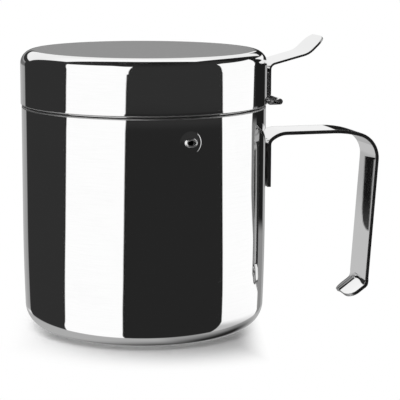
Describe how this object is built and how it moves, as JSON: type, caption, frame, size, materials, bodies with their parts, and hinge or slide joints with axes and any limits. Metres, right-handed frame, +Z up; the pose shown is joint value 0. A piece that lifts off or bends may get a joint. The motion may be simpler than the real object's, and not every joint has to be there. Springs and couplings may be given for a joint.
{
  "type": "oil cruet",
  "caption": "Polished steel oil cruet: a round pot with a small pouring nose in its wall, an open strap handle and a hinged cap lid worked by a thumb lever.",
  "frame": {"origin": "centre of the base, on the surface that the cruet stands on", "axes": "+Z up along the pot's axis, +X from that axis towards the handle, so the pouring nose lies near -Y"},
  "size_m": [0.1508, 0.1018, 0.1185],
  "materials": {
    "polished_shell": "mirror-polished stainless steel",
    "bright_fittings": "bright polished stainless strip",
    "weld_metal": "dull bare steel"
  },
  "bodies": {
    "pot": {"pot_body": "polished_shell", "pour_nose": "bright_fittings", "handle_strap": "bright_fittings", "handle_welds": "weld_metal", "pot_hinge_leaf": "bright_fittings", "hinge_pin": "weld_metal"},
    "lid": {"lid_cap": "polished_shell", "lid_hinge_leaf": "bright_fittings", "thumb_lever": "bright_fittings", "lid_welds": "weld_metal"}
  },
  "joints": [
    {"name": "lid_hinge", "type": "hinge", "parent": "pot", "child": "lid", "pos_m": [0.05585, 0, 0.0919], "axis": [0, 1, 0], "range_deg": [0, 74]}
  ]
}
